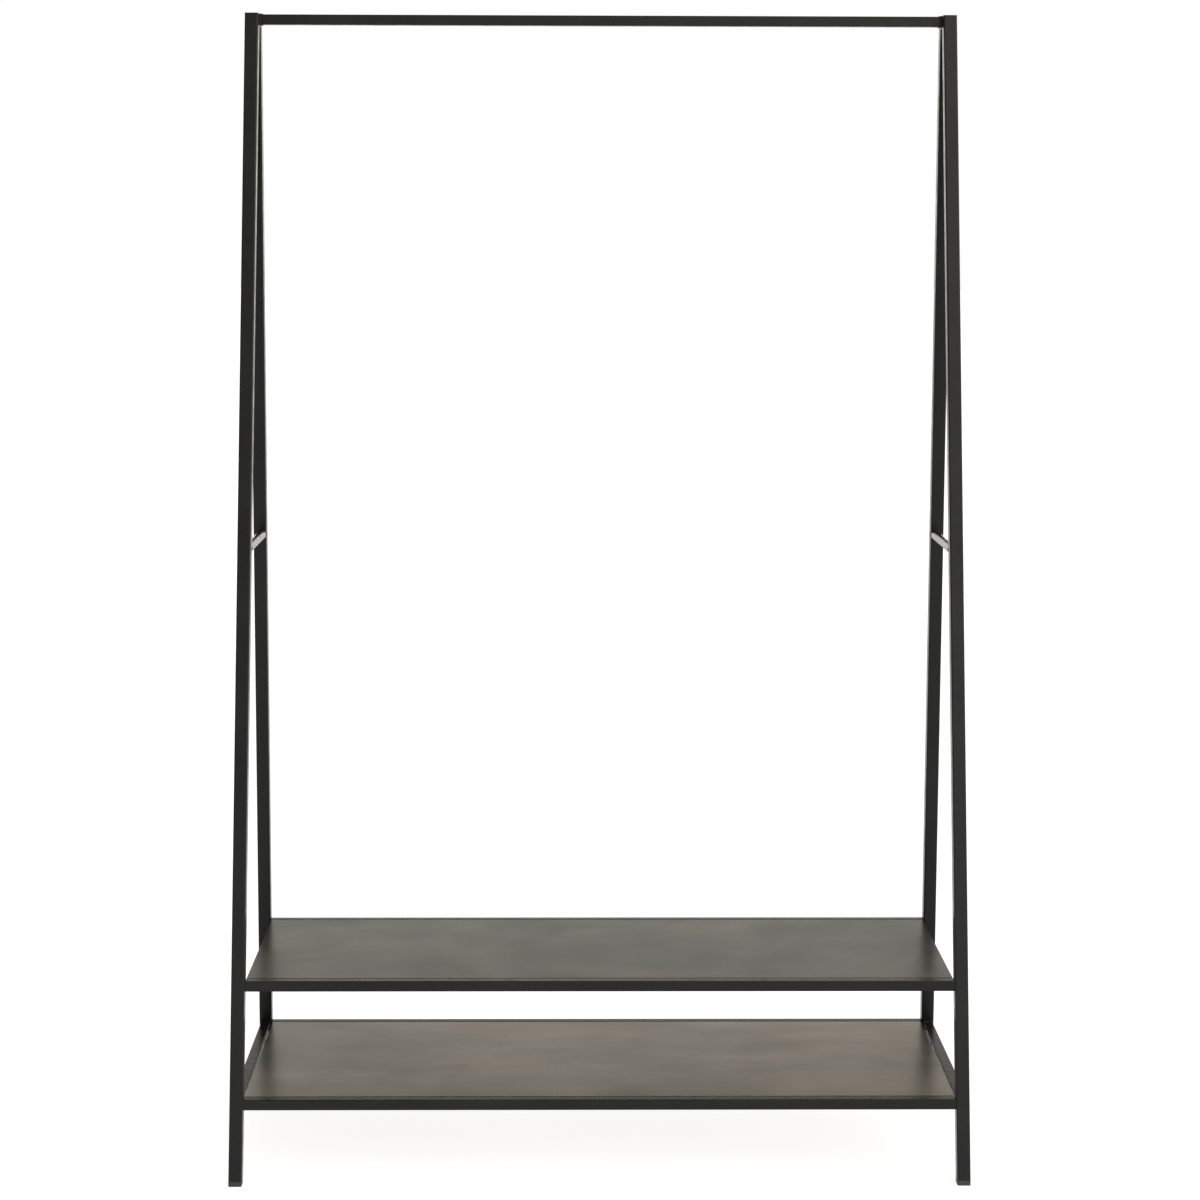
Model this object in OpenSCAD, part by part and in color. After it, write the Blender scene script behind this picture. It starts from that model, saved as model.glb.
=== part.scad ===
// Free-standing A-frame garment rail in square steel tube.
// Two welded side frames carry one hanging rail and two shelves with lift-out sheet panels.
// +Z is up, the front faces -Y, and the origin is on the floor under the middle of the rack.

/* [Overall] */
// Width over the feet
width = 1100; // [900:10:1300]
// Height of the leg tops
height = 1718; // [1600:2:1800]
// Depth over the feet
depth = 450; // [400:5:500]
// Inward lean of each side frame, in degrees
lean = 0.9; // [0:0.1:1.2]

/* [Side frames] */
// Side of the square leg tube
leg = 20; // [19:0.5:22]
// Wall of the leg tube
leg_wall = 1.5; // [1.2:0.1:2]
// Corner radius of the leg tube
leg_corner = 2; // [1:0.5:3]
// Gap between the front and the rear leg at the top
top_gap = 12; // [11:0.5:15]
// Height of the web that joins the leg tops
web_h = 18; // [17:0.5:40]
// Diameter of the round cross rod
rod_d = 14; // [10:1:16]
// Height of the cross rod's axis
rod_z = 935; // [800:5:1100]
// Height of the plastic foot that shows below the tube
foot_h = 8; // [5:0.5:12]
// Chamfer round the bottom of the foot
foot_chamfer = 1.5; // [0.5:0.1:2]

/* [Rails] */
// Side of the hanging rail's square tube
rail = 15; // [14:0.5:16]
// Side of the square tube round the shelves
shelf_tube = 16; // [15:0.5:18]
// Wall of both rail tubes
rail_wall = 1.2; // [1:0.1:1.5]
// Corner radius of both rail tubes
rail_corner = 1.5; // [1:0.1:2]
// Drop of the hanging rail below the leg tops
rail_drop = 1; // [1:0.1:3]
// Length of the collar that locates each end of the hanging rail
socket_l = 4.5; // [4:0.5:20]
// Wall of that collar
socket_wall = 0.9; // [0.8:0.1:1]

/* [Shelves] */
// Height of the upper shelf's top face
upper_z = 303; // [250:1:400]
// Height of the lower shelf's top face
lower_z = 128; // [90:1:200]
// Thickness of the shelf sheet
sheet = 1.2; // [1:0.1:2]
// Depth of the folded rim round each shelf sheet
rim_h = 12; // [10:0.5:12.5]
// Gap between a shelf sheet and the front and rear rails
sheet_gap = 1.5; // [1:0.1:3]
// Gap between a shelf sheet's ends and the legs
end_gap = 1; // [0.9:0.1:3]
// Clearance between a lift-out sheet and its ledge
seat_gap = 0.3; // [0.2:0.05:0.5]

/* [Fasteners] */
// Thread diameter of the bolts
bolt_d = 6; // [5:0.5:6]
// Diameter of the bolt heads
bolt_head_d = 10.5; // [9:0.5:10.5]
// Height of the bolt heads
bolt_head_h = 3.3; // [2.5:0.1:4]
// Length of the threaded insert in a rail's end
insert_l = 22; // [18:1:30]

/* [Hidden] */
$fn = 48;

RIGHT = 1;
LEFT = -1;
FRONT = 1;
REAR = -1;
black = "#26261f";
satin = "#8c8a82";
bare_steel = "#8f897d";
plastic = "#151515";
zinc = "#a9a9a4";

far = 2 * height;
foot_y = depth / 2;
top_y = leg + top_gap / 2;
rake = atan((foot_y - top_y) / height);
stem = leg - 2 * leg_wall - 0.2;
stem_h = 14;
top_rail_z = height - rail_drop - rail / 2;
hole_d = bolt_d + 0.6;
plug_d = bolt_head_d + 1.5;
head_hole_d = bolt_head_d + 0.5;
web_grip = 7;
socket_key = 4;
shank_l = insert_l - 4;
ledge_w = 12;
ledge_t = 2;
stiffener_w = 40;
stiffener_lip = 10;
stiffener_h = rim_h - sheet - 1;

// Outer face of the legs, as a distance in front of or behind the middle, at height z
function leg_face_y(z) = foot_y - z * tan(rake);
// Middle of a leg at height z
function leg_mid_y(z) = leg_face_y(z) - leg / 2 / cos(rake);
// Inner face of the side frames at height z
function inner_x(z) = width / 2 - leg / cos(lean) - z * tan(lean);
function shelf_rail_z(top) = top - shelf_tube / 2;
function shelf_rail_y(top) = leg_mid_y(shelf_rail_z(top));

// ---- Placing helpers ----

// Puts the right-hand, front piece at the given side and end of the rack
module at_corner(side, end) {
    mirror([side == LEFT ? 1 : 0, 0, 0])
        mirror([0, end == REAR ? 1 : 0, 0])
            children();
}

module each_corner() {
    for (side = [LEFT, RIGHT])
        for (end = [FRONT, REAR])
            at_corner(side, end) children();
}

// Axes of the leaning right-hand side frame: X = 0 is its outer face
module in_side_frame() {
    translate([width / 2, 0, 0]) rotate([0, -lean, 0]) children();
}

// Axes of the right front leg: it fills -leg < X < 0 and 0 < Y < leg
module in_leg() {
    in_side_frame() translate([0, -foot_y, 0]) rotate([-rake, 0, 0]) children();
}

// Keeps what lies between the floor and the level of the leg tops
module floor_to_top() {
    intersection() {
        children();
        translate([-width, -depth, 0]) cube([2 * width, 2 * depth, height]);
    }
}

// Keeps what lies between the inner faces of the two side frames
module between_frames() {
    intersection() {
        children();
        rotate([90, 0, 0])
            linear_extrude(far, center = true)
                polygon([[-inner_x(0), 0], [inner_x(0), 0], [inner_x(height), height], [-inner_x(height), height]]);
    }
}

// ---- Profiles ----

module round_square(size, radius) {
    inner = size - 2 * radius;
    square([size, inner], center = true);
    square([inner, size], center = true);
    for (x = [-1, 1])
        for (y = [-1, 1])
            translate([x * inner / 2, y * inner / 2]) circle(r = radius);
}

module tube_profile(size, wall, radius) {
    difference() {
        round_square(size, radius);
        round_square(size - 2 * wall, max(radius - wall, 0.3));
    }
}

// A length of square rail tube along X, centred on the origin
module tube_along_x(size, length) {
    rotate([90, 0, 90])
        linear_extrude(length, center = true)
            tube_profile(size, rail_wall, rail_corner);
}

module bore_along_x(diameter, length) {
    rotate([0, 90, 0]) cylinder(d = diameter, h = length, center = true);
}

// ---- Side frames ----

module leg_length(from, to) {
    translate([-leg / 2, leg / 2, from]) linear_extrude(to - from) children();
}

// Takes away what reaches past the facing sides of the front and the rear leg
module trim_to_legs() {
    difference() {
        children();
        for (end = [FRONT, REAR])
            mirror([0, end == REAR ? 1 : 0, 0])
                in_leg() translate([-2 * leg, leg - depth, 0]) cube([4 * leg, depth, 2 * height]);
    }
}

// Bolt holes for both shelves: a clearance hole inside and a head-sized hole outside
module leg_holes() {
    for (top = [upper_z, lower_z])
        translate([inner_x(shelf_rail_z(top)), -shelf_rail_y(top), shelf_rail_z(top)]) {
            bore_along_x(hole_d, leg);
            translate([leg, 0, 0]) bore_along_x(plug_d, leg);
        }
}

module leg_tube(side, end) {
    color(black)
        at_corner(side, end)
            difference() {
                floor_to_top() in_leg() leg_length(foot_h, height + leg) tube_profile(leg, leg_wall, leg_corner);
                leg_holes();
            }
}

// A plastic plug: a square foot with a chamfered sole and a stem inside the tube
module foot(side, end) {
    sole = leg / cos(rake);
    color(plastic)
        at_corner(side, end)
            intersection() {
                union() {
                    in_leg() leg_length(-leg, foot_h) round_square(leg, leg_corner);
                    in_leg() leg_length(foot_h - 1, foot_h + stem_h) round_square(stem, 1);
                }
                translate([width / 2, 0, 0]) sole_wedge(-leg / cos(lean), 0);
                rotate([0, 0, 90]) mirror([0, 1, 0]) sole_wedge(-foot_y, sole - foot_y);
            }
}

// Space above a chamfered sole that reaches from x0 to x1
module sole_wedge(x0, x1) {
    c = foot_chamfer;
    rotate([90, 0, 0])
        linear_extrude(far, center = true)
            polygon([[x0 + c, 0], [x1 - c, 0], [x1 - c + leg * 4, leg * 4], [x0 + c - leg * 4, leg * 4]]);
}

module cross_rod(side) {
    color(satin)
        at_corner(side, FRONT)
            trim_to_legs()
                translate([inner_x(rod_z) + rod_d / 2, 0, rod_z])
                    rotate([90, 0, 0]) cylinder(d = rod_d, h = depth, center = true);
}

module lower_side_rail(side) {
    color(black)
        at_corner(side, FRONT)
            trim_to_legs()
                in_side_frame()
                    translate([-leg / 2, 0, shelf_rail_z(lower_z)])
                        rotate([90, 0, 0])
                            linear_extrude(depth, center = true)
                                tube_profile(shelf_tube, rail_wall, rail_corner);
}

// Wedge-shaped block that joins the two leg tops, counterbored for the rail bolt
module apex_web(side) {
    color(black)
        at_corner(side, FRONT)
            difference() {
                trim_to_legs()
                    in_side_frame() translate([-leg, -leg, height - web_h]) cube([leg, 2 * leg, web_h - 1]);
                translate([inner_x(top_rail_z), 0, top_rail_z]) {
                    bore_along_x(hole_d, 3 * leg);
                    translate([web_grip + leg / 2, 0, 0]) bore_along_x(head_hole_d, leg);
                }
            }
}

// Shallow square collar round the end of the hanging rail
module rail_socket(side) {
    socket = rail + 2 * socket_wall;
    color(black)
        at_corner(side, FRONT)
            between_frames()
                translate([inner_x(top_rail_z) - socket_l, 0, top_rail_z])
                    rotate([90, 0, 90])
                        linear_extrude(2 * socket_l)
                            tube_profile(socket, socket_wall, rail_corner + socket_wall / 2);
}

module leg_top_caps() {
    color(black)
        each_corner()
            floor_to_top()
                in_leg() leg_length(height - 2, height + leg) round_square(leg - 2 * leg_wall, 0.5);
}

// Plastic discs that close the outer bolt holes flush with the legs
module leg_hole_plugs() {
    color(plastic)
        each_corner()
            for (top = [upper_z, lower_z])
                intersection() {
                    in_side_frame() translate([-leg_wall, -foot_y, 0]) cube([leg_wall, depth, height]);
                    translate([inner_x(shelf_rail_z(top)) + leg, -shelf_rail_y(top), shelf_rail_z(top)])
                        bore_along_x(plug_d, leg);
                }
}

// ---- Rails ----

module top_rail() {
    color(black) between_frames() translate([0, 0, top_rail_z]) tube_along_x(rail, width);
}

module shelf_rail(top, end) {
    color(black)
        between_frames()
            translate([0, -end * shelf_rail_y(top), shelf_rail_z(top)])
                tube_along_x(shelf_tube, width);
}

// Threaded block inside the right-hand end of a rail of the given size, with its axis at height z
module rail_insert(size, z) {
    between_frames()
        translate([inner_x(z), 0, z])
            difference() {
                rotate([90, 0, 90])
                    linear_extrude(2 * insert_l, center = true)
                        round_square(size - 2 * rail_wall, max(rail_corner - rail_wall, 0.3));
                bore_along_x(bolt_d, 4 * insert_l);
            }
}

// Button-head bolt whose head bears at X = grip and whose shank points to -X
module bolt(grip) {
    difference() {
        union() {
            translate([grip + bolt_head_h / 2, 0, 0]) bore_along_x(bolt_head_d, bolt_head_h);
            translate([(grip - shank_l) / 2, 0, 0]) bore_along_x(bolt_d, shank_l + grip);
        }
        translate([grip + bolt_head_h, 0, 0])
            rotate([0, 90, 0]) cylinder(d = socket_key / cos(30), h = bolt_head_h * 1.4, center = true, $fn = 6);
    }
}

module top_rail_inserts() {
    color(zinc) for (side = [LEFT, RIGHT]) at_corner(side, FRONT) rail_insert(rail, top_rail_z);
}

module top_rail_bolts() {
    color(zinc)
        for (side = [LEFT, RIGHT])
            at_corner(side, FRONT)
                translate([inner_x(top_rail_z), 0, top_rail_z]) bolt(web_grip);
}

module shelf_inserts(top) {
    color(zinc)
        each_corner()
            translate([0, -shelf_rail_y(top), 0]) rail_insert(shelf_tube, shelf_rail_z(top));
}

module shelf_bolts(top) {
    color(zinc)
        each_corner()
            translate([inner_x(shelf_rail_z(top)), -shelf_rail_y(top), shelf_rail_z(top)])
                bolt(leg_wall + 0.1);
}

// ---- Shelf sheets ----

function sheet_half_x(top) = inner_x(top) - end_gap;
function sheet_half_y(top) = shelf_rail_y(top) - shelf_tube / 2 - sheet_gap;

// Flat sheet with a rim folded down on all four sides
module shelf_panel(top) {
    x = sheet_half_x(top);
    y = sheet_half_y(top);
    color(bare_steel)
        translate([0, 0, top - rim_h])
            difference() {
                translate([-x, -y, 0]) cube([2 * x, 2 * y, rim_h]);
                translate([sheet - x, sheet - y, -1]) cube([2 * (x - sheet), 2 * (y - sheet), rim_h + 1 - sheet]);
            }
}

// Hat channel along the middle of a sheet's underside
module shelf_stiffener(top) {
    length = 2 * sheet_half_x(top) - 2 * stiffener_lip;
    web_x = stiffener_w / 2 - sheet;
    color(bare_steel)
        translate([0, 0, top - sheet - stiffener_h])
            rotate([90, 0, 90])
                linear_extrude(length, center = true) {
                    translate([-stiffener_w / 2, 0]) square([stiffener_w, sheet]);
                    for (side = [LEFT, RIGHT])
                        mirror([side == LEFT ? 1 : 0, 0]) {
                            translate([web_x, 0]) square([sheet, stiffener_h]);
                            translate([web_x, stiffener_h - sheet]) square([stiffener_lip + sheet, sheet]);
                        }
                }
}

// Strips welded along the rails' inner faces, on which the sheet's rim rests
module shelf_ledges(top) {
    face_y = shelf_rail_y(top) - shelf_tube / 2;
    length = 2 * inner_x(top) - 4 * end_gap;
    color(black)
        for (end = [FRONT, REAR])
            mirror([0, end == REAR ? 1 : 0, 0])
                translate([-length / 2, -face_y, top - rim_h - seat_gap - ledge_t])
                    cube([length, ledge_w, ledge_t]);
}

leg_tube(LEFT, FRONT);  // front_leg_left
leg_tube(RIGHT, FRONT);  // front_leg_right
leg_tube(LEFT, REAR);  // rear_leg_left
leg_tube(RIGHT, REAR);  // rear_leg_right
foot(LEFT, FRONT);  // front_foot_left
foot(RIGHT, FRONT);  // front_foot_right
foot(LEFT, REAR);  // rear_foot_left
foot(RIGHT, REAR);  // rear_foot_right
cross_rod(LEFT);  // cross_rod_left
cross_rod(RIGHT);  // cross_rod_right
lower_side_rail(LEFT);  // lower_side_rail_left
lower_side_rail(RIGHT);  // lower_side_rail_right
apex_web(LEFT);  // apex_web_left
apex_web(RIGHT);  // apex_web_right
rail_socket(LEFT);  // rail_socket_left
rail_socket(RIGHT);  // rail_socket_right
leg_top_caps();
leg_hole_plugs();
top_rail();
top_rail_inserts();
top_rail_bolts();
shelf_rail(upper_z, FRONT);  // upper_shelf_front_rail
shelf_rail(upper_z, REAR);  // upper_shelf_rear_rail
shelf_ledges(upper_z);  // upper_shelf_ledges
shelf_panel(upper_z);  // upper_shelf_panel
shelf_stiffener(upper_z);  // upper_shelf_stiffener
shelf_inserts(upper_z);  // upper_shelf_inserts
shelf_bolts(upper_z);  // upper_shelf_bolts
shelf_rail(lower_z, FRONT);  // lower_shelf_front_rail
shelf_rail(lower_z, REAR);  // lower_shelf_rear_rail
shelf_ledges(lower_z);  // lower_shelf_ledges
shelf_panel(lower_z);  // lower_shelf_panel
shelf_stiffener(lower_z);  // lower_shelf_stiffener
shelf_inserts(lower_z);  // lower_shelf_inserts
shelf_bolts(lower_z);  // lower_shelf_bolts
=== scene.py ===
"""Looks of the free-standing A-frame garment rail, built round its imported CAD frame.

Metres, +Z up, front faces -Y.
"""

import math

import bmesh
import bpy
from mathutils import Euler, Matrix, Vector


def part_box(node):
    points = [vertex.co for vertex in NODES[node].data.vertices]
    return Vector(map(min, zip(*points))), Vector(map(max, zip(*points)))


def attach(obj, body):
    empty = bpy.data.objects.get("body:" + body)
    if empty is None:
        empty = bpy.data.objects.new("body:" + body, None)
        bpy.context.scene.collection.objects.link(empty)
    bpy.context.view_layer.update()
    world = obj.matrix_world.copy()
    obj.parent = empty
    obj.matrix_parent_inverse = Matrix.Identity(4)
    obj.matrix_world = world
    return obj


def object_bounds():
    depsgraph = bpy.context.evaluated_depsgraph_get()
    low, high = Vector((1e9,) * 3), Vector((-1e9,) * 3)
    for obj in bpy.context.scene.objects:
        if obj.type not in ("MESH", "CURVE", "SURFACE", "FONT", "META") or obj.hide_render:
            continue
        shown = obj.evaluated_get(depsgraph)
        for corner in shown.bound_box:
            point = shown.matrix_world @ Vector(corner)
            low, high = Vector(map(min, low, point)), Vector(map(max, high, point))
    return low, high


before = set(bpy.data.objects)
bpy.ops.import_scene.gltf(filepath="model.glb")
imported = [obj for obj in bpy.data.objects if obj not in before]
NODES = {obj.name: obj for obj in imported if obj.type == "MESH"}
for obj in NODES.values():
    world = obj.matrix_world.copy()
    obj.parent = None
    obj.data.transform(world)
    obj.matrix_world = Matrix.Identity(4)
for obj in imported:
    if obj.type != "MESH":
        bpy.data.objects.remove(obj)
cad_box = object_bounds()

# ---- Sizes: two tube sizes as in the CAD, the rest read from the frame ----

LEG = 0.020
SHELF_TUBE = 0.016

LOW, HIGH = cad_box
LEG_LOW, LEG_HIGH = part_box("front_leg_right")
HEIGHT = HIGH.z

# How far a leg comes inward per metre of height: front to rear, and side to side.
RAKE = (-LOW.y - LEG + LEG_HIGH.y) / HEIGHT
LEAN = (HIGH.x - LEG - LEG_LOW.x) / HEIGHT


def leg_back_y(z):
    """Distance from the middle plane to the facing sides of the legs, at height z."""
    return -LOW.y - LEG * math.sqrt(1 + RAKE**2) - z * RAKE


def frame_inner_x(z):
    """Distance from the middle plane to the inner faces of the side frames, at height z."""
    return HIGH.x - LEG - z * LEAN


# ---- Materials ----


class Recipe:
    """A node material under construction: one Principled shader and the textures that feed it."""

    def __init__(self, name, color, roughness, metallic=0.0, **inputs):
        self.material = bpy.data.materials.new(name)
        self.material.use_nodes = True
        self.nodes = self.material.node_tree.nodes
        self.links = self.material.node_tree.links
        self.shader = self.nodes["Principled BSDF"]
        self.shader.inputs["Base Color"].default_value = (*color, 1)
        self.shader.inputs["Roughness"].default_value = roughness
        self.shader.inputs["Metallic"].default_value = metallic
        for label, value in inputs.items():
            self.shader.inputs[label.replace("_", " ")].default_value = value
        self.place = self.nodes.new("ShaderNodeTexCoord").outputs["Object"]

    def stretched(self, scale, shift):
        """Object coordinates, scaled along each axis and then shifted."""
        mapping = self.nodes.new("ShaderNodeMapping")
        mapping.inputs["Scale"].default_value = scale
        mapping.inputs["Location"].default_value = shift
        self.links.new(self.place, mapping.inputs["Vector"])
        return mapping.outputs["Vector"]

    def noise(self, scale, detail=3.0, roughness=0.5, stretch=(1, 1, 1), distortion=0.0, shift=(0, 0, 0)):
        """Noise that varies about scale times per metre."""
        node = self.nodes.new("ShaderNodeTexNoise")
        node.inputs["Scale"].default_value = scale
        node.inputs["Detail"].default_value = detail
        node.inputs["Roughness"].default_value = roughness
        node.inputs["Distortion"].default_value = distortion
        self.links.new(self.stretched(stretch, shift), node.inputs["Vector"])
        return node.outputs["Fac"]

    def spread(self, value, low, high, start=0.3, end=0.7):
        """value, which runs from start to end, mapped to run from low to high."""
        node = self.nodes.new("ShaderNodeMapRange")
        for label, number in (("From Min", start), ("From Max", end), ("To Min", low), ("To Max", high)):
            node.inputs[label].default_value = number
        self.links.new(value, node.inputs["Value"])
        return node.outputs["Result"]

    def ramp(self, value, *stops):
        """A colour ramp through (position, colour) stops."""
        node = self.nodes.new("ShaderNodeValToRGB")
        elements = node.color_ramp.elements
        while len(elements) < len(stops):
            elements.new(0.5)
        for element, (position, color) in zip(elements, stops):
            element.position = position
            element.color = (*color, 1)
        self.links.new(value, node.inputs["Fac"])
        return node.outputs["Color"]

    def multiply(self, first, second):
        """The product of two colours."""
        node = self.nodes.new("ShaderNodeMix")
        node.data_type = "RGBA"
        node.blend_type = "MULTIPLY"
        node.inputs["Factor"].default_value = 1.0
        color_sockets = [socket for socket in node.inputs if socket.type == "RGBA"]
        self.links.new(first, color_sockets[0])
        self.links.new(second, color_sockets[1])
        return next(socket for socket in node.outputs if socket.type == "RGBA")

    def bump(self, height, strength, distance, under=None):
        """A bumped normal, on top of the one given as under."""
        node = self.nodes.new("ShaderNodeBump")
        node.inputs["Strength"].default_value = strength
        node.inputs["Distance"].default_value = distance
        self.links.new(height, node.inputs["Height"])
        if under is not None:
            self.links.new(under, node.inputs["Normal"])
        return node.outputs["Normal"]

    def feed(self, label, output):
        self.links.new(output, self.shader.inputs[label])


COAT_DARK = (0.0050, 0.0052, 0.0041)
COAT_LIGHT = (0.0076, 0.0078, 0.0062)


def powder_coat(name, gloss, sheen):
    """Satin black powder coat: faint clouding, uneven gloss, orange peel and a fine grain."""
    recipe = Recipe(name, COAT_DARK, gloss, Specular_IOR_Level=sheen)
    clouds = recipe.noise(scale=9, detail=4)
    recipe.feed("Base Color", recipe.ramp(clouds, (0.35, COAT_DARK), (0.65, COAT_LIGHT)))
    recipe.feed("Roughness", recipe.spread(recipe.noise(scale=55, detail=5), gloss - 0.05, gloss + 0.07))
    peel = recipe.bump(recipe.noise(scale=420, detail=2), strength=0.08, distance=0.00003)
    grain = recipe.bump(recipe.noise(scale=2600, detail=1), strength=0.06, distance=0.00001, under=peel)
    recipe.feed("Normal", grain)
    return recipe.material


STREAK_SHADE = (0.86, 0.86, 0.86)
NO_SHADE = (1.0, 1.0, 1.0)


def shelf_sheet(name, cool, warm, pale, gloss, metallic, sheen, shift):
    """Blackened, lacquered steel sheet: cloudy heat tones, rolling streaks, slow waves and a fine grain."""
    recipe = Recipe(name, warm, gloss, metallic=metallic, Specular_IOR_Level=sheen)
    clouds = recipe.noise(scale=5.0, detail=3, stretch=(0.7, 1.6, 1), distortion=0.35, shift=shift)
    tones = recipe.ramp(clouds, (0.32, cool), (0.5, warm), (0.68, pale))
    streaks = recipe.noise(scale=26, detail=6, roughness=0.65, stretch=(0.2, 8, 1))
    streak_tones = recipe.ramp(streaks, (0.30, STREAK_SHADE), (0.70, NO_SHADE))
    recipe.feed("Base Color", recipe.multiply(tones, streak_tones))
    smears = recipe.noise(scale=7, detail=5, distortion=0.4)
    recipe.feed("Roughness", recipe.spread(smears, gloss - 0.05, gloss + 0.06))
    wave_height = recipe.noise(scale=3.5, detail=1, stretch=(0.6, 1, 1))
    waves = recipe.bump(wave_height, strength=0.12, distance=0.0003)
    grain_height = recipe.noise(scale=700, detail=2, stretch=(0.06, 1, 1))
    grain = recipe.bump(grain_height, strength=0.02, distance=0.00001, under=waves)
    recipe.feed("Normal", grain)
    return recipe.material


def moulded_plastic():
    """Black moulded plastic with a fine spark-eroded texture."""
    recipe = Recipe("moulded_plastic", (0.012, 0.012, 0.012), 0.5)
    tones = recipe.ramp(recipe.noise(scale=40), (0.3, (0.010, 0.010, 0.010)), (0.7, (0.018, 0.018, 0.017)))
    recipe.feed("Base Color", tones)
    recipe.feed("Roughness", recipe.spread(recipe.noise(scale=90, detail=4), 0.45, 0.6))
    recipe.feed("Normal", recipe.bump(recipe.noise(scale=2200, detail=1), strength=0.4, distance=0.00005))
    return recipe.material


def zinc_plate():
    """Zinc plating: pale metal with fine crystalline mottling."""
    recipe = Recipe("zinc_plate", (0.55, 0.55, 0.53), 0.35, metallic=1.0)
    mottling = recipe.noise(scale=260)
    recipe.feed("Base Color", recipe.ramp(mottling, (0.3, (0.46, 0.46, 0.44)), (0.7, (0.62, 0.62, 0.60))))
    recipe.feed("Roughness", recipe.spread(mottling, 0.28, 0.42))
    recipe.feed("Normal", recipe.bump(recipe.noise(scale=1500), strength=0.2, distance=0.00004))
    return recipe.material


# ---- Edges of the CAD nodes ----

SHEET_FOLD = 0.0009


def soften(node, width):
    """Rounds a node's sharp edges, as folding does."""
    bevel = node.modifiers.new("soft_edges", "BEVEL")
    bevel.width = width
    bevel.segments = 3
    bevel.limit_method = "ANGLE"
    bevel.angle_limit = math.radians(40)
    bevel.harden_normals = False


# ---- Weld beads ----

RIPPLE = 0.0026
RINGS_PER_RIPPLE = 4
FEWEST_RINGS = 12
RING_SIDES = 8

RAIL_BEAD = 0.0014
ROD_BEAD = 0.0009
SOCKET_BEAD = 0.0008

RAIL_CORNER = 0.0015
SOCKET_CORNER = 0.002
SOCKET_INSET = 0.0004


def evenly_spaced(loop, spans, count):
    """count points along a closed loop of points, whose pieces have the lengths in spans."""
    total = sum(spans)
    stations = []
    for i in range(count):
        goal = total * i / count
        for a, b, span in zip(loop, loop[1:], spans):
            if goal <= span:
                stations.append(a.lerp(b, goal / span))
                break
            goal -= span
    return stations


def bead(name, path, radius):
    """A rippled weld bead round a closed path of points, as one closed mesh."""
    loop = path + [path[0]]
    spans = [(b - a).length for a, b in zip(loop, loop[1:])]
    total = sum(spans)
    count = max(FEWEST_RINGS, round(total / RIPPLE * RINGS_PER_RIPPLE))
    stations = evenly_spaced(loop, spans, count)
    mesh = bmesh.new()
    rings = []
    for i, centre in enumerate(stations):
        along = (stations[(i + 1) % count] - stations[i - 1]).normalized()
        if abs(along.x) > 0.9:
            across = along.orthogonal().normalized()
        else:
            across = along.cross(Vector((1, 0, 0))).normalized()
        up = along.cross(across)
        phase = (total * i / count / RIPPLE) % 1.0
        swell = radius * (0.82 + 0.24 * math.sqrt(1 - phase) + 0.05 * math.sin(i * 1.7))
        turns = [math.tau * k / RING_SIDES for k in range(RING_SIDES)]
        rings.append([
            mesh.verts.new(centre + swell * (across * math.cos(t) + up * math.sin(t))) for t in turns
        ])
    for first, second in zip(rings, rings[1:] + rings[:1]):
        for k in range(RING_SIDES):
            after = (k + 1) % RING_SIDES
            mesh.faces.new((first[k], first[after], second[after], second[k]))
    bmesh.ops.recalc_face_normals(mesh, faces=mesh.faces)
    data = bpy.data.meshes.new(name)
    mesh.to_mesh(data)
    mesh.free()
    data.shade_smooth()
    piece = bpy.data.objects.new(name, data)
    bpy.context.scene.collection.objects.link(piece)
    return piece


def rounded_loop(half, corner, place, steps=4):
    """Points of a square with rounded corners, each put in space by place(u, v)."""
    points = []
    for quarter, (su, sv) in enumerate(((1, 1), (-1, 1), (-1, -1), (1, -1))):
        for step in range(steps + 1):
            turn = math.pi / 2 * (quarter + step / steps)
            u = su * (half - corner) + corner * math.cos(turn)
            v = sv * (half - corner) + corner * math.sin(turn)
            points.append(place(u, v))
    return points


def weld(name, path, radius, coat):
    piece = bead(name, path, radius)
    piece.data.materials.append(coat)
    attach(piece, "frame")


def leg_face_welds(name, side, middle, half, corner, slant, radius, coat):
    """Beads round both ends of a bar between the legs. slant is their move towards -X per metre of height."""
    for end, facing in (("front", -1), ("rear", 1)):
        def on_leg(u, v):
            z = middle.z + v
            return Vector((middle.x + u - slant * v, facing * leg_back_y(z), z))
        weld(f"{name}_{end}_{side}", rounded_loop(half, corner, on_leg), radius, coat)


def side_frame_welds(side, sign, coat):
    """Beads where the side rail, the cross rod and the rail socket meet the legs of one side frame."""
    low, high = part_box(f"lower_side_rail_{side}")
    middle = (low + high) / 2
    slant = sign * LEAN
    leg_face_welds("side_rail_weld", side, middle, SHELF_TUBE / 2, RAIL_CORNER, slant, RAIL_BEAD, coat)

    low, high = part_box(f"cross_rod_{side}")
    middle = (low + high) / 2
    radius = (high.x - low.x) / 2
    leg_face_welds("cross_rod_weld", side, middle, radius, radius, 0, ROD_BEAD, coat)

    low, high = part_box(f"rail_socket_{side}")
    middle = (low + high) / 2
    half = (high.z - low.z) / 2 - SOCKET_INSET

    def on_frame(u, v):
        z = middle.z + v
        return Vector((sign * frame_inner_x(z), middle.y + u, z))
    weld(f"socket_weld_{side}", rounded_loop(half, SOCKET_CORNER, on_frame), SOCKET_BEAD, coat)


# ---- Stage ----

FLOOR_REACH = 60.0
FLOOR_GLOW = 0.84

WHITE = (1, 1, 1, 1)
WARM = (1.0, 0.965, 0.88, 1)
BEHIND = 1.6
OVERHEAD = 0.55
FRONT_LEFT = 0.12
FRONT_RIGHT = 2.6

# Where one light gives way to another, along one axis of the direction that is looked in.
BEHIND_TO_OVERHEAD_Z = (0.06, 0.33)
LEFT_TO_RIGHT_X = (-0.25, 0.25)
FRONT_TO_BACK_Y = (-0.5, 0.2)


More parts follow.
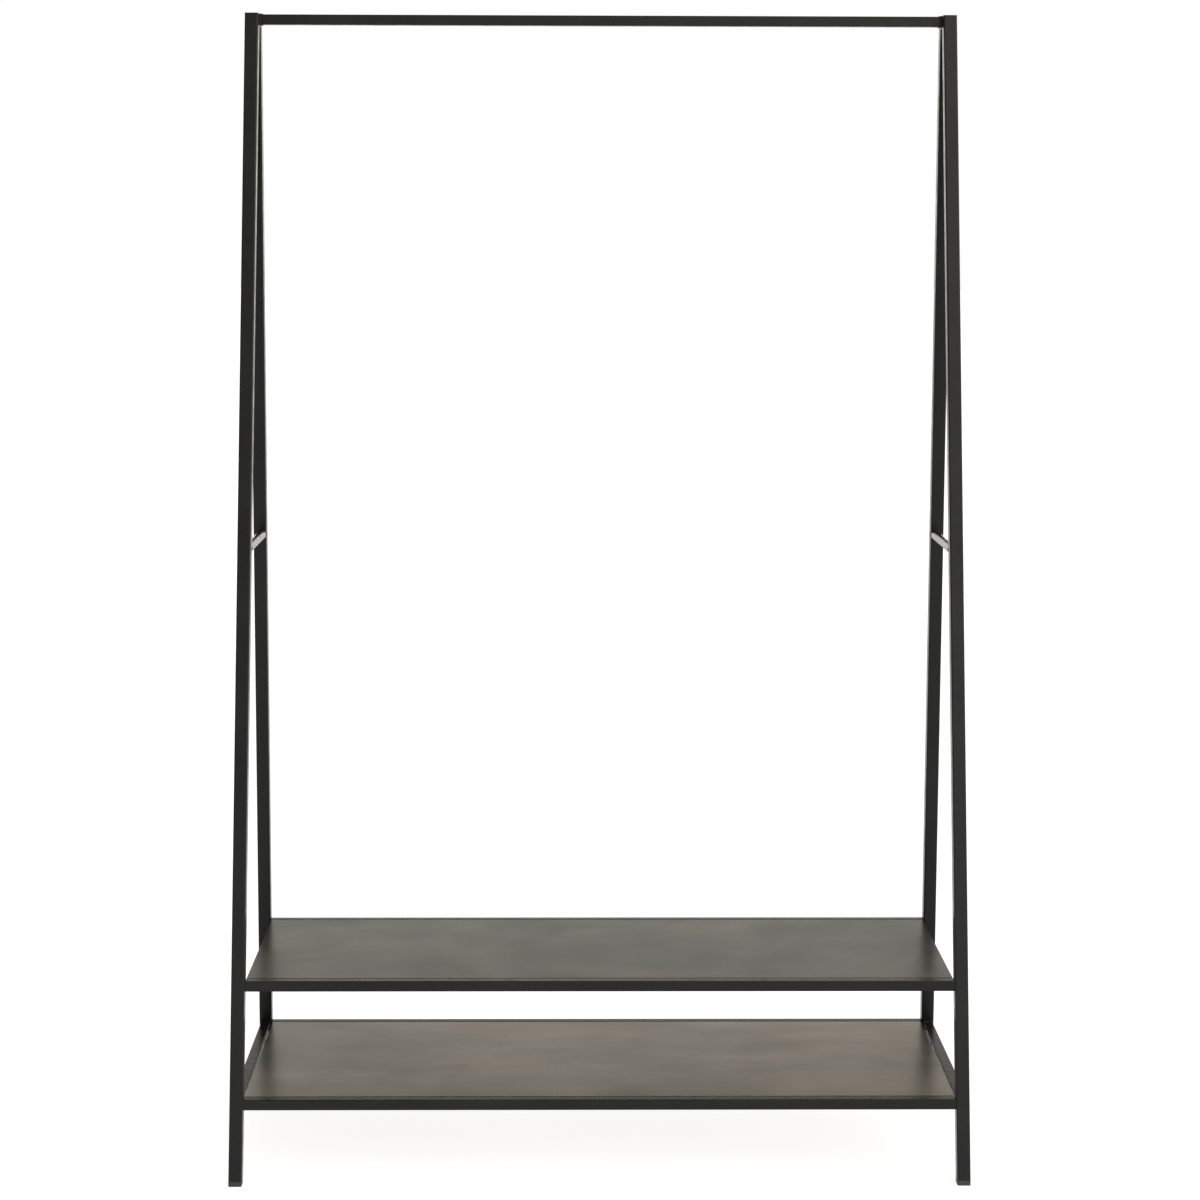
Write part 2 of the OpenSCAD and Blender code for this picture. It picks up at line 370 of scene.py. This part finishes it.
def stage_floor():
    """Plain pale floor, with an even glow of its own, so that it renders nearly white."""
    mesh = bpy.data.meshes.new("floor")
    corners = [(x * FLOOR_REACH, y * FLOOR_REACH, 0) for x, y in ((-1, -1), (1, -1), (1, 1), (-1, 1))]
    mesh.from_pydata(corners, [], [(0, 1, 2, 3)])
    floor = bpy.data.objects.new("floor", mesh)
    bpy.context.scene.collection.objects.link(floor)
    recipe = Recipe("pale_floor", (0.35, 0.35, 0.35), 0.8, Emission_Strength=FLOOR_GLOW, Emission_Color=WHITE)
    tones = recipe.ramp(recipe.noise(scale=3), (0.3, (0.34, 0.34, 0.34)), (0.7, (0.36, 0.36, 0.36)))
    recipe.feed("Base Color", tones)
    mesh.materials.append(recipe.material)


def studio_world():
    """Soft studio light: a low bright backdrop behind, dimmer overhead, and a broad light at front right.

    To the camera, and only there, it shows as plain white.
    """
    world = bpy.data.worlds.new("studio")
    bpy.context.scene.world = world
    world.use_nodes = True
    nodes, links = world.node_tree.nodes, world.node_tree.links
    nodes.clear()

    def ramped(value, between, low, high):
        node = nodes.new("ShaderNodeMapRange")
        node.interpolation_type = "SMOOTHSTEP"
        start, end = between
        for label, number in (("From Min", start), ("From Max", end), ("To Min", low), ("To Max", high)):
            node.inputs[label].default_value = number
        links.new(value, node.inputs["Value"])
        return node.outputs["Result"]

    def mixed(factor, first, second):
        node = nodes.new("ShaderNodeMix")
        for label, value in (("Factor", factor), ("A", first), ("B", second)):
            links.new(value, node.inputs[label])
        return node.outputs["Result"]

    place = nodes.new("ShaderNodeTexCoord")
    split = nodes.new("ShaderNodeSeparateXYZ")
    links.new(place.outputs["Generated"], split.inputs["Vector"])
    behind = ramped(split.outputs["Z"], BEHIND_TO_OVERHEAD_Z, BEHIND, OVERHEAD)
    in_front = ramped(split.outputs["X"], LEFT_TO_RIGHT_X, FRONT_LEFT, FRONT_RIGHT)
    backward = ramped(split.outputs["Y"], FRONT_TO_BACK_Y, 0, 1)
    light = nodes.new("ShaderNodeBackground")
    light.inputs["Color"].default_value = WARM
    links.new(mixed(backward, in_front, behind), light.inputs["Strength"])
    seen = nodes.new("ShaderNodeBackground")
    seen.inputs["Color"].default_value = WHITE
    path = nodes.new("ShaderNodeLightPath")
    choose = nodes.new("ShaderNodeMixShader")
    output = nodes.new("ShaderNodeOutputWorld")
    links.new(path.outputs["Is Camera Ray"], choose.inputs[0])
    links.new(light.outputs["Background"], choose.inputs[1])
    links.new(seen.outputs["Background"], choose.inputs[2])
    links.new(choose.outputs["Shader"], output.inputs["Surface"])


def softbox(name, place, target, size, power):
    """A square light of size metres at place, turned to target."""
    data = bpy.data.lights.new(name, "AREA")
    data.shape = "SQUARE"
    data.size = size
    data.energy = power
    lamp = bpy.data.objects.new(name, data)
    lamp.location = place
    lamp.rotation_euler = (Vector(target) - Vector(place)).to_track_quat("-Z", "Y").to_euler()
    bpy.context.scene.collection.objects.link(lamp)


SENSOR_MM = 36.0
LENS_MM = 81.73
EYE_X = -0.0522
EYE_AHEAD = 3.879
EYE_HEIGHT = 1.4062
LOOK_DOWN = 7.772
TURN = -0.7345
ROLL = 0.1524


def camera():
    """Eye a little left of the middle, in front of the feet. LOOK_DOWN, TURN and ROLL are in degrees."""
    data = bpy.data.cameras.new("camera")
    data.sensor_width = SENSOR_MM
    data.lens = LENS_MM
    eye = bpy.data.objects.new("camera", data)
    eye.location = (EYE_X, LOW.y - EYE_AHEAD, EYE_HEIGHT)
    aim = Euler((math.radians(90 - LOOK_DOWN), 0, math.radians(TURN))).to_matrix()
    roll = Euler((0, 0, math.radians(ROLL))).to_matrix()
    eye.rotation_euler = (aim @ roll).to_euler()
    bpy.context.scene.collection.objects.link(eye)
    bpy.context.scene.camera = eye


# ---- Build ----

camera()
studio_world()
stage_floor()
softbox("key", place=(2.6, -3.2, 3.2), target=(0, 0, 0.9), size=2.0, power=25)
bpy.context.scene.view_settings.view_transform = "Standard"

coat = powder_coat("powder_coat", gloss=0.28, sheen=0.20)
rod_coat = powder_coat("rod_coat", gloss=0.22, sheen=0.5)
# The two shelves are the same steel sheet. The lower copy gets paler, warmer colours and more metal, and the
# upper copy darker ones: painted light and shade for how brightly each shelf catches the light. The cloudy
# tones within each copy are the sheet's own.
sheet_upper_shaded = shelf_sheet(
    "shelf_sheet_upper",
    cool=(0.038, 0.040, 0.033),
    warm=(0.052, 0.052, 0.043),
    pale=(0.072, 0.069, 0.056),
    gloss=0.30,
    metallic=0.5,
    sheen=0.2,
    shift=(0, 0, 0),
)
sheet_lower_lit = shelf_sheet(
    "shelf_sheet_lower",
    cool=(0.150, 0.138, 0.118),
    warm=(0.200, 0.176, 0.146),
    pale=(0.250, 0.214, 0.174),
    gloss=0.30,
    metallic=0.9,
    sheen=0.3,
    shift=(3.1, 0, 0),
)
plastic = moulded_plastic()
zinc = zinc_plate()


def material_for(name):
    """The material of the CAD node of this name."""
    if name.endswith(("_foot_left", "_foot_right")) or name == "leg_hole_plugs":
        return plastic
    if name.endswith(("_inserts", "_bolts")):
        return zinc
    if name.startswith("cross_rod"):
        return rod_coat
    if name.endswith(("_panel", "_stiffener")):
        return sheet_upper_shaded if name.startswith("upper_shelf") else sheet_lower_lit
    return coat


for name, node in NODES.items():
    node.data.materials.clear()
    node.data.materials.append(material_for(name))

for shelf in ("upper", "lower"):
    soften(NODES[f"{shelf}_shelf_panel"], SHEET_FOLD)

for side, sign in (("left", -1), ("right", 1)):
    side_frame_welds(side, sign, coat)
